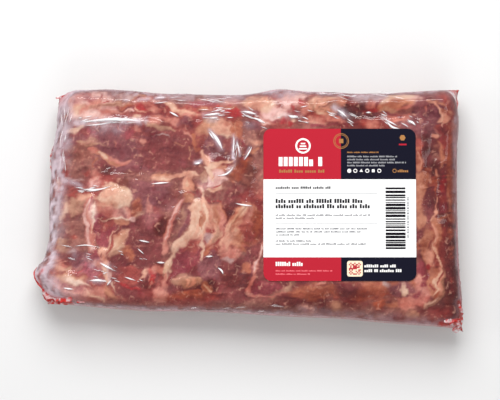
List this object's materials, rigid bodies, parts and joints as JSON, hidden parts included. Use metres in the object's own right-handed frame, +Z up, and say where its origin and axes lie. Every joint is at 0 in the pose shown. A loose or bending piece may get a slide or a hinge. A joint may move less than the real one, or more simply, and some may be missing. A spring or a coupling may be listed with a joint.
{
  "type": "vacuum-packed raw beef striploin",
  "caption": "Flat block of raw boneless beef striploin, shrink-sealed in clear film with crumpled corner ears, with a square paper label on its top.",
  "frame": {"origin": "middle of the pack's footprint box, on the plane that the base rests on", "axes": "+X along the loin towards its wider end with the label, +Y across it towards the straighter long side, +Z up through the label"},
  "size_m": [0.428, 0.243, 0.0669],
  "materials": {
    "sealed_meat": "raw meat, dark red muscle with cream and orange-pink fat, wet under film",
    "shrink_film": "clear glossy shrink film, wrinkled, milky where it bridges the meat",
    "label_paper": "white satin label paper",
    "label_print": "satin print in red, navy, gold, grey and black"
  },
  "bodies": {
    "root": {"sealed_striploin": "sealed_meat", "label": "label_paper"}
  },
  "joints": []
}
